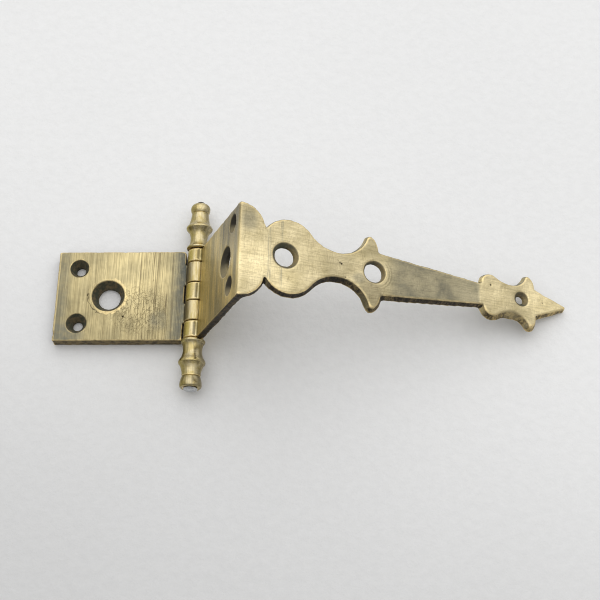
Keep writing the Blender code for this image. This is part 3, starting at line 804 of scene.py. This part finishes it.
def butt_leaf_face(graph, place, x, y, marks):
    """The polished face, before it tarnished."""
    cloud = graph.noise(place, 0.09)
    colour = graph.blend(OLIVE_BRASS, TAN_BRASS, graph.between(cloud, 0.3, 0.7))
    colour = graph.blend(colour, PALE_TAN, graph.between(marks.broad, 0.35, 0.65), 0.15)
    upper_end = graph.between(y, -18.0, 14.0, 1.16, 1.42)
    far_end = graph.between(x, -56.0, -44.0, 0.8, 1.0)
    rubbed = graph.plus(1.0, graph.times(graph.spot(place, *LEAF_RUBBED), 0.24))
    streaked = graph.between(marks.fine, 0.34, 0.66, 0.89, 1.11)
    colour = graph.tinted(colour, graph.times(upper_end, far_end, rubbed, streaked))
    colour = graph.blend(colour, BROWN_PATINA, marks.dark_lines, 0.55)
    colour = graph.blend(colour, BROWN_PATINA, marks.close_lines, 0.2)
    return graph.blend(colour, BROWN_PATINA, marks.cracks, 0.5)


def butt_leaf_patina(graph, place, x):
    """Where the face is tarnished: next to the barrel, along its far edge and in two patches."""
    near_barrel = graph.between(x, -14.0, -5.5)
    far_corner = graph.times(graph.spot(place, *LEAF_FAR_CORNER), 0.9)
    dull_patch = graph.times(graph.spot(place, *LEAF_DULL), 0.55)
    far_edge = graph.between(x, -52.0, -57.0, 0.0, 0.55)
    patchy = graph.between(graph.noise(place, 0.3), 0.3, 0.6, 0.5, 1.0)
    return graph.times(graph.most(near_barrel, far_corner, dull_patch, far_edge), patchy)


def butt_leaf_brass():
    graph = Graph(bpy.data.materials.new("butt_leaf_brass"))
    place = graph.read("place", True)
    x, y, _ = graph.parts(place)
    facing_x, facing_y, facing_z = graph.parts(graph.read("facing", True))
    barrel = graph.between(x, -BARREL_RADIUS - 0.7, -BARREL_RADIUS)
    face = graph.times(graph.between(facing_z, *LOOK_FADE), graph.inverse(barrel))
    rough = graph.times(graph.inverse(face), graph.inverse(barrel))
    mottle = graph.noise(place, 0.5)
    marks = butt_leaf_marks(graph, place, x)

    patina = graph.times(butt_leaf_patina(graph, place, x), face)
    colour = graph.blend(butt_leaf_face(graph, place, x, y, marks), GREY_PATINA, patina, 0.8)
    dark_band = graph.times(graph.between(x, -9.5, -5.5), graph.between(y, -12.0, 8.0, 0.25, 0.75))
    colour = graph.blend(colour, BLUE_PATINA, dark_band, graph.between(mottle, 0.3, 0.6, 0.6, 1.0))

    # A golden cast on the side facing -Y, broken up by mottle: painted reflection.
    lower_side = graph.between(facing_y, -0.5, -0.9)
    side_reflection = graph.times(lower_side, graph.between(mottle, 0.35, 0.6, 0.2, 0.6))
    side = graph.blend(rough_cast(graph, mottle), SIDE_GOLD, side_reflection)
    side = graph.blend(side, aged_back(graph, mottle), graph.between(facing_z, -0.6, -0.9))
    colour = graph.blend(colour, side, rough)
    # Painted shade on the knuckles' side that faces the butt leaf.
    shade_by_the_plate = graph.between(facing_x, -0.1, -0.9)
    colour = graph.blend(colour, polished_barrel(graph, place, 0.0, shade_by_the_plate), barrel)

    roughness = graph.between(marks.broad, 0.3, 0.7, 0.44, 0.36)
    roughness = graph.plus(roughness, graph.times(patina, 0.12), graph.times(rough, 0.25))
    metallic = casting_metallic(graph, graph.times(patina, 0.4), rough)
    height = graph.plus(
        graph.times(graph.between(marks.broad, 0.25, 0.75), graph.times(face, 0.008)),
        graph.times(marks.cracks, -0.05),
        graph.times(graph.plus(marks.dark_lines, marks.close_lines), -0.03),
        graph.times(graph.between(marks.fine, 0.2, 0.8), 0.012),
        graph.times(mottle, rough, 0.12),
        graph.times(graph.noise(place, 4.0, 3.0), 0.014),
    )
    return worn_finish(graph, colour, hole_wall(graph, mottle), mottle, 1.0, 1.0, roughness, metallic, height)


# ------------ strap leaf's brass

def strap_leaf_marks(graph, place, x):
    """What polishing and tools have left on the strap, the riser and their sides."""
    by_the_crease = graph.times(graph.between(x, 1.0, 4.0), graph.between(x, 20.0, 16.0, 0.0, 0.5))
    return SimpleNamespace(
        lengthwise=graph.streaks(place, ALONG_X, 14.0, 0.8),
        crosswise=graph.streaks(place, ALONG_Y, 26.0, 3.0, 2.0),
        bands=graph.streaks(place, ALONG_Y, 45.0, 6.0, 1.0),
        file_marks=graph.streaks(place, ALONG_Z, 12.0, 0.9),
        scores=graph.lines(place, ALONG_X, 16.0, 1.2, 0.06),
        scrapes=graph.times(graph.lines(place, ALONG_Y, 9.0, 0.9, 0.07), by_the_crease),
        riser_scores=graph.lines(place, ALONG_Y, 12.0, 1.6, 0.07, 0.12),
    )


def strap_patina(graph, place, cloud, mottle, shank):
    """Where the strap is tarnished: along its shank and in two patches."""
    by_crease = graph.times(graph.spot(place, *STRAP_BY_CREASE), 0.7)
    by_barb = graph.times(graph.spot(place, *STRAP_BY_BARB), 0.8)
    cover = graph.most(graph.times(shank, 0.9), by_crease, by_barb)
    cloudy = graph.between(cloud, 0.35, 0.6, 1.05, 0.72)
    patchy = graph.between(mottle, 0.25, 0.6, 0.85, 1.0)
    return graph.times(cover, cloudy, patchy)


def strap_face(graph, place, x, cloud, marks, patina):
    """The strap's polished and tarnished face, with the scrapes across its disc."""
    colour = graph.blend(TAN_BRASS, CREAM_BRASS, graph.between(cloud, 0.2, 0.72))
    colour = graph.blend(colour, OLIVE_BRASS, graph.between(marks.lengthwise, 0.52, 0.75), 0.3)
    colour = graph.blend(colour, BROWN_PATINA, marks.scores, 0.2)
    colour = graph.blend(colour, BROWN_PATINA, marks.scrapes, 0.14)
    for tool_x, half_width in TOOL_MARKS:
        mark = graph.between(graph.away_from(x, tool_x), 0.4 * half_width, half_width, 1.0, 0.0)
        mark = graph.times(mark, graph.between(graph.streaks(place, ALONG_Y, 6.0, 0.3), 0.4, 0.55))
        colour = graph.blend(colour, GREY_PATINA, mark, 0.42)
    colour = graph.blend(colour, GREY_PATINA, patina, 0.7)
    on_shank = graph.spot(place, *STRAP_ON_SHANK)
    return graph.blend(colour, BLUE_PATINA, on_shank, patina, 0.4)


def riser_face(graph, z, marks):
    """The riser's face, with dull and pale bands on its upper half and a golden foot."""
    colour = graph.blend(TAN_BRASS, RISER_GOLD, graph.between(marks.crosswise, 0.3, 0.7))
    upper_half = graph.between(z, 12.0, 26.0)
    strength = graph.plus(0.12, graph.times(upper_half, 0.45))
    colour = graph.blend(colour, GREY_PATINA, graph.between(marks.bands, 0.48, 0.6), strength)
    pale = graph.between(marks.bands, 0.48, 0.38, 0.0, 0.25)
    colour = graph.blend(colour, CREAM_BRASS, pale, upper_half)
    colour = graph.blend(colour, WARM_GOLD, graph.between(z, 30.0, 5.0, 0.0, 0.45))
    return graph.blend(colour, BROWN_PATINA, marks.riser_scores, 0.22)


def strap_leaf_side(graph, x, facing_y, mottle, marks, shank):
    """The sides, brassy at the barbs and the head, filed all along, and a lighter grey where they face +Y: a
    painted sheen on the sides that face the light.
    """
    brassy = graph.plus(graph.between(x, 44.0, 52.0, 0.0, 0.55), graph.between(x, 106.0, 112.0, 0.0, 0.25))
    brassy = graph.times(brassy, graph.inverse(graph.times(shank, 0.8)))
    brassy = graph.times(brassy, graph.between(marks.file_marks, 0.35, 0.65, 0.4, 1.2))
    side = graph.blend(rough_cast(graph, mottle), SIDE_GOLD, brassy)
    side = graph.tinted(side, graph.between(marks.file_marks, 0.35, 0.65, 0.5, 1.5))
    # Painted sheen: lighter grey on the sides facing +Y, towards the light.
    return graph.blend(side, GREY_PATINA, graph.between(facing_y, 0.2, 0.6, 0.0, 0.8))


def strap_leaf_backs(graph, x, z, facing_x, facing_z):
    """1 on the back of the strap and of the riser."""
    below_strap = graph.between(z, STRAP_FACE - 2.0, STRAP_FACE - 3.0)
    riser_back = graph.times(graph.between(facing_x, *RELIEF_FADE), below_strap)
    riser_back = graph.times(riser_back, graph.between(x, 6.0, 5.0))
    return graph.most(graph.between(facing_z, -0.6, -0.9), riser_back)


def strap_leaf_holes(graph, facing_x, facing_y, facing_z, mottle, on_riser):
    """The holes' walls, with painted light: in the strap's holes the walls facing -X are painted a lit gold,
    and in the riser's holes the walls are painted lit where they look up and painted in shade elsewhere.
    """
    # Painted light: hole walls facing -X are painted golden.
    inside = graph.blend(hole_wall(graph, mottle), SIDE_GOLD, graph.between(facing_x, -0.2, -0.8, 0.0, 0.7))
    upward = graph.times(graph.plus(facing_y, facing_z), 0.7)
    # Painted light and shade: riser hole walls looking up are painted tan, the rest black.
    riser_hole_light_and_shade = graph.blend(BLACK_PATINA_AND_SHADE, TAN_BRASS, graph.between(upward, 0.25, 1.0, 0.0, 0.9))
    return graph.blend(inside, riser_hole_light_and_shade, on_riser)


def strap_leaf_barrel(graph, place, facing_x, facing_z):
    """The strap leaf's knuckles, with a painted golden reflection on the side away from the riser and painted
    shade on the side next to it.
    """
    away_from_plate = graph.plus(graph.times(facing_x, -0.92), graph.times(facing_z, -0.39))
    golden_reflection = graph.between(away_from_plate, 0.2, 0.6, 0.0, 0.9)
    return polished_barrel(graph, place, golden_reflection, graph.between(facing_z, 0.87, 0.97))


def patchy_tone(graph, place, tone):
    """The tone with the strap leaf's lighter and darker patches."""
    for spot_x, spot_y, spot_z, reach, change in STRAP_TONES:
        share = graph.spot(place, (spot_x, spot_y, spot_z), (reach, reach, reach))
        tone = graph.times(tone, graph.plus(1.0, graph.times(share, change)))
    return tone


def strap_leaf_brass():
    graph = Graph(bpy.data.materials.new("strap_leaf_brass"))
    place = graph.read("place", True)
    x, _, z = graph.parts(place)
    facing_x, facing_y, facing_z = graph.parts(graph.read("facing", True))
    barrel = graph.between(z, BARREL_RADIUS + 0.7, BARREL_RADIUS)
    on_strap = graph.times(graph.between(facing_z, *LOOK_FADE), graph.inverse(barrel))
    on_riser = graph.times(graph.between(graph.times(facing_x, -1.0), *LOOK_FADE), graph.inverse(barrel))
    rough = graph.inverse(graph.joined("MINIMUM", graph.plus(on_strap, on_riser, barrel), 1.0))
    riser_depth = graph.between(x, 5.0, 4.0)
    shank = graph.times(graph.between(x, 60.0, 70.0), graph.between(x, HEAD_START + 0.8, HEAD_START - 0.4))
    cloud = graph.noise(place, 0.10)
    mottle = graph.noise(place, 0.45)
    speckle = graph.noise(place, 1.9, roughness=0.65)
    marks = strap_leaf_marks(graph, place, x)

    patina = graph.times(strap_patina(graph, place, cloud, mottle, shank), on_strap)
    strap = strap_face(graph, place, x, cloud, marks, patina)
    colour = graph.blend(strap, riser_face(graph, z, marks), on_riser)
    side = strap_leaf_side(graph, x, facing_y, mottle, marks, shank)
    back = strap_leaf_backs(graph, x, z, facing_x, facing_z)
    colour = graph.blend(colour, graph.blend(side, aged_back(graph, mottle), back), rough)
    colour = graph.blend(colour, strap_leaf_barrel(graph, place, facing_x, facing_z), barrel)
    tone = patchy_tone(graph, place, graph.between(speckle, 0.3, 0.7, 0.93, 1.08))
    colour = graph.tinted(colour, tone)

    roughness = graph.between(marks.lengthwise, 0.3, 0.7, 0.42, 0.32)
    roughness = graph.plus(roughness, graph.times(patina, 0.1), graph.times(rough, 0.25))
    metallic = casting_metallic(graph, graph.times(patina, 0.5), rough)
    height = graph.plus(
        graph.times(marks.lengthwise, on_strap, 0.03),
        graph.times(marks.crosswise, on_riser, 0.07),
        graph.times(graph.plus(marks.scores, marks.scrapes, marks.riser_scores), -0.025),
        graph.times(marks.file_marks, rough, 0.25),
        graph.times(mottle, rough, 0.14),
        graph.times(speckle, 0.015),
    )
    inside = strap_leaf_holes(graph, facing_x, facing_y, facing_z, mottle, riser_depth)
    # The painted highlight on worn edges is cut back where they face +Y and along the riser's lower edge.
    lower_riser_edge = graph.times(riser_depth, graph.between(facing_y, -0.1, -0.5, 0.0, 0.85))
    edge_highlight = graph.times(graph.between(facing_y, 0.15, 0.6, 1.0, 0.1), graph.inverse(lower_riser_edge))
    # Less of the painted corner shade and dirt next to the barrel.
    corner_dirt_and_shade = graph.between(z, 6.0, 9.0, 0.3, 1.0)
    return worn_finish(graph, colour, inside, mottle, edge_highlight, corner_dirt_and_shade, roughness, metallic, height)


# ------------ the other finishes

def turned_brass():
    graph = Graph(bpy.data.materials.new("finial_brass"))
    place = graph.read("place", True)
    _, y, _ = graph.parts(place)
    facing = graph.read("facing", True)
    across, _, _ = graph.parts(facing)
    edge, corner = graph.read("edge"), graph.read("corner")
    mottle = graph.noise(place, 0.35)
    lathe_lines = graph.noise(graph.stretched(place, (0.2, 6.0, 0.2)), 1.0)
    # Bands that follow the way the surface faces: painted reflection bands.
    bands = graph.noise(graph.stretched(facing, (3.2, 0.3, 3.2)), 1.0, 3.0)
    colour = graph.blend(FINIAL_GOLD, CREAM_BRASS, graph.between(mottle, 0.35, 0.65))
    colour = graph.tinted(colour, graph.between(bands, 0.36, 0.6, 0.72, 1.14))
    # A painted golden reflection on the side facing -X.
    colour = graph.blend(colour, WARM_GOLD, graph.between(across, -0.2, -0.75, 0.0, 0.75))
    # Painted highlight: brighter from the -X side in towards the centre.
    colour = graph.tinted(colour, graph.between(across, -0.75, -0.15, 0.8, 1.12))
    # Painted shade on the side facing +X.
    colour = graph.tinted(colour, graph.between(across, 0.0, 0.95, 1.0, 0.6))
    tone = graph.times(graph.between(y, -20.0, 20.0, 0.83, 0.86), graph.between(y, -37.0, -36.0, 0.8, 1.0))
    colour = graph.tinted(colour, graph.times(tone, graph.between(lathe_lines, 0.3, 0.7, 0.9, 1.08)))
    # Worn edges painted a brighter brass: wear together with a painted highlight.
    colour = graph.blend(colour, WORN_BRASS_AND_HIGHLIGHT, graph.between(edge, 0.3, 0.8), 0.7)
    # Corners painted darker: dirt together with painted shade.
    colour = graph.blend(colour, DIRT_AND_SHADE, graph.between(corner, 0.25, 0.75))
    roughness = graph.plus(graph.between(mottle, 0.3, 0.7, 0.24, 0.36), graph.times(corner, 0.3))
    grain = graph.noise(place, 1.5, 3.0, 0.55)
    height = graph.plus(graph.times(lathe_lines, 0.006), graph.times(grain, 0.01))
    return graph.finish(colour, roughness, 1.0, height)


def pin_steel():
    graph = Graph(bpy.data.materials.new("pin_steel"))
    place = graph.read("place", True)
    _, y, _ = graph.parts(place)
    mottle = graph.noise(place, 0.9, 5.0, 0.65)
    rust = graph.between(graph.noise(place, 1.7), 0.55, 0.75)
    colour = graph.blend(STEEL_GREY, STEEL_PALE, graph.between(mottle, 0.35, 0.65))
    colour = graph.blend(colour, BROWN_PATINA, rust, 0.4)
    # Corners painted darker: dirt together with painted shade.
    colour = graph.blend(colour, DIRT_AND_SHADE, graph.between(graph.read("corner"), 0.3, 0.9))
    colour = graph.blend(colour, BLACK_PATINA_AND_SHADE, graph.between(y, 40.0, 42.0))
    roughness = graph.between(mottle, 0.3, 0.7, 0.3, 0.5)
    grain = graph.noise(place, 5.0, 3.0, 0.55)
    height = graph.plus(graph.times(mottle, 0.05), graph.times(grain, 0.02))
    return graph.finish(colour, roughness, 1.0, height)


def floor_paper():
    """Slightly fibrous white paper, painted paler towards the light and darker towards the front: a painted
    light falloff. Its own lengths are in metres.
    """
    graph = Graph(bpy.data.materials.new("floor_paper"))
    place = graph.add("ShaderNodeTexCoord", "Object")
    x, y, _ = graph.parts(place)
    fibre = graph.noise(place, 260.0)
    cloud = graph.noise(place, 6.0, 3.0, 0.5)
    colour = graph.blend(PAPER_GREY, PAPER_WHITE, graph.between(cloud, 0.3, 0.7))
    # Painted light falloff: paler towards the light, darker towards the front.
    toward_light = graph.plus(y, graph.times(x, 0.3))
    colour = graph.tinted(colour, graph.between(toward_light, -0.23, 0.0, 0.86, 1.12))
    colour = graph.tinted(colour, graph.between(fibre, 0.3, 0.7, 0.985, 1.015))
    return graph.finish(colour, 0.9, 0.0, graph.times(fibre, 0.25))


# ------------ stage

def add_empty(name, place, parent=None):
    empty = new_object(name, None)
    empty.location = place
    empty.parent = parent
    return empty


def lowest_places(node, directions):
    """The vertices of a CAD node that can be its lowest one as it swings about the pin."""
    places = corners_of(frame["nodes"][node].data)
    found = set()
    for k in range(directions):
        angle = 2.0 * math.pi * k / directions
        found.add(int(np.argmin(places[:, 0] * math.cos(angle) + places[:, 2] * math.sin(angle))))
    return [Vector(places[index]) for index in sorted(found)]


def add_floor():
    """The floor that the hinge lies on, under the butt leaf's far edge and the strap's tip. It keeps its
    slope and sinks as far as it must when the strap leaf swings down."""
    places = corners_of(frame["nodes"]["strap_leaf"].data)
    tip = Vector(places[np.argmin(places[:, 2])])
    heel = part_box("butt_leaf")[0]
    slope = add_empty("floor_slope", (tip.x, 0.0, tip.z))
    slope.rotation_euler = (0.0, math.atan2(heel.z - tip.z, tip.x - heel.x), 0.0)
    bm = bmesh.new()
    bmesh.ops.create_grid(bm, x_segments=FLOOR_CELLS, y_segments=FLOOR_CELLS, size=FLOOR_SIZE / 2.0)
    floor = new_object("floor", mesh_from(bm, "floor"))
    floor.parent = slope
    floor.data.materials.append(floor_paper())

    height = floor.driver_add("location", 2).driver
    height.type = "MIN"
    probes = [add_empty("low_point_heel", (heel.x, 0.0, heel.z))]
    for k, place in enumerate(lowest_places("strap_leaf", SWING_DIRECTIONS)):
        probes.append(add_empty(f"low_point_{k}", place, frame["bodies"]["strap"]))
    for probe in probes:
        follower = add_empty(probe.name + "_on_slope", (0.0, 0.0, 0.0), slope)
        follow = follower.constraints.new("COPY_LOCATION")
        follow.target = probe
        variable = height.variables.new()
        variable.type = "TRANSFORMS"
        variable.targets[0].id = follower
        variable.targets[0].transform_type = "LOC_Z"
        variable.targets[0].transform_space = "LOCAL_SPACE"


def add_camera():
    lean = Matrix.Rotation(CAMERA_LEAN, 3, "Y")
    turn = Matrix.Rotation(CAMERA_AZIMUTH, 3, "Z")
    right = turn @ Vector((1.0, 0.0, 0.0))
    forward = turn @ Vector((0.0, math.cos(CAMERA_ELEVATION), -math.sin(CAMERA_ELEVATION)))
    up = right.cross(forward)
    place = right * CAMERA_ASIDE - up * CAMERA_LOWER - forward * CAMERA_DISTANCE
    place -= Vector((0.0, 0.0, AIM_UNDER_PIN))
    rolled_right = math.cos(CAMERA_ROLL) * right - math.sin(CAMERA_ROLL) * up
    rolled_up = math.sin(CAMERA_ROLL) * right + math.cos(CAMERA_ROLL) * up
    axes = [lean @ axis for axis in (rolled_right, rolled_up, -forward)]
    camera = new_object("camera", bpy.data.cameras.new("camera"))
    camera.data.lens = CAMERA_LENS
    camera.data.clip_start = 10.0 * MM
    turned_camera = Matrix(axes).transposed().to_4x4()
    camera.matrix_world = Matrix.Translation(PIN_PLACE + lean @ place) @ turned_camera
    bpy.context.scene.camera = camera


def add_key_light():
    """A soft white panel that faces the hinge from above and behind it."""
    data = bpy.data.lights.new("key", "AREA")
    data.size = KEY_SIZE
    data.energy = KEY_POWER
    light = new_object("key", data)
    light.location = PIN_PLACE + Vector(KEY_PLACE)
    light.rotation_euler = Vector(KEY_PLACE).to_track_quat("Z", "Y").to_euler()


def add_world():
    """A pale room, brighter overhead and behind the hinge than in front of it."""
    world = bpy.data.worlds.new("studio")
    bpy.context.scene.world = world
    graph = Graph(world)
    way = graph.add("ShaderNodeTexCoord", "Generated")
    inputs = ((0, way), (1, WORLD_BRIGHT_WAY))
    toward_light = graph.add("ShaderNodeVectorMath", "Value", inputs, operation="DOT_PRODUCT")
    colour = graph.blend(WORLD_DIM, WORLD_BRIGHT, graph.between(toward_light, *WORLD_FADE))
    graph.feed(graph.tree.nodes["Background"].inputs["Color"], colour)


def dress(piece, body, material):
    """Rides a piece on its body and gives it its material."""
    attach(piece, body)
    piece.data.materials.append(material)


def main():
    dress(cast_butt_leaf(), "butt", butt_leaf_brass())
    dress(cast_strap_leaf(), "strap", strap_leaf_brass())
    brass = turned_brass()
    upper = turned("upper_finial", UPPER_FINIAL, 1.0, seed=51, wobble=0.012)
    lower = turned("lower_finial", LOWER_FINIAL, -1.0, seed=61, wobble=0.02)
    for finial in (upper, lower):
        dress(finial, "pin", brass)
    pin = turned("hinge_pin", PIN, 1.0, seed=71, wobble=0.015)
    dress(pin, "pin", pin_steel())

    add_floor()
    add_camera()
    add_key_light()
    add_world()
    bpy.context.scene.view_settings.view_transform = "Standard"
    bpy.context.scene.cycles.use_denoising = True
    bpy.context.scene.cycles.filter_width = PIXEL_FILTER


main()
